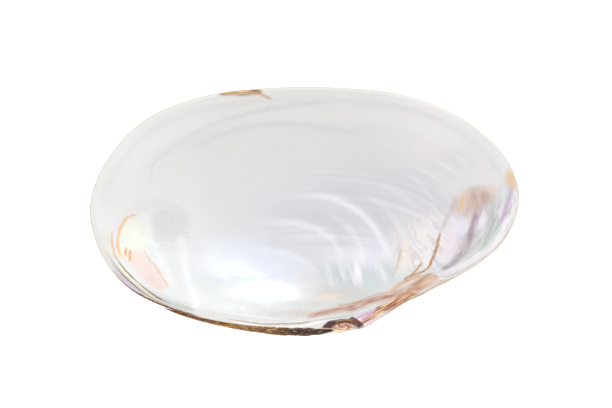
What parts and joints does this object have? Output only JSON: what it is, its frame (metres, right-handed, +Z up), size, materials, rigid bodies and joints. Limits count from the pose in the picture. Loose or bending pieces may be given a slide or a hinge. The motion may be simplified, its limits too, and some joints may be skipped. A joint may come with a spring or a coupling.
{
  "type": "mussel shell",
  "caption": "Single empty valve of a large freshwater mussel, lying hollow side up, with a pearly inside, a ribbed outside and a strip of dried ligament on its hinge.",
  "frame": {"origin": "lowest point of the valve, under the middle of its length and width", "axes": "+X along the hinge to the front end of the shell, +Y from the hinge to the free edge, +Z up out of the hollow"},
  "size_m": [0.1506, 0.0946, 0.032],
  "materials": {
    "shell": "pearly",
    "ligament": "matte"
  },
  "bodies": {
    "root": {"valve": "shell", "ligament": "ligament"}
  },
  "joints": []
}
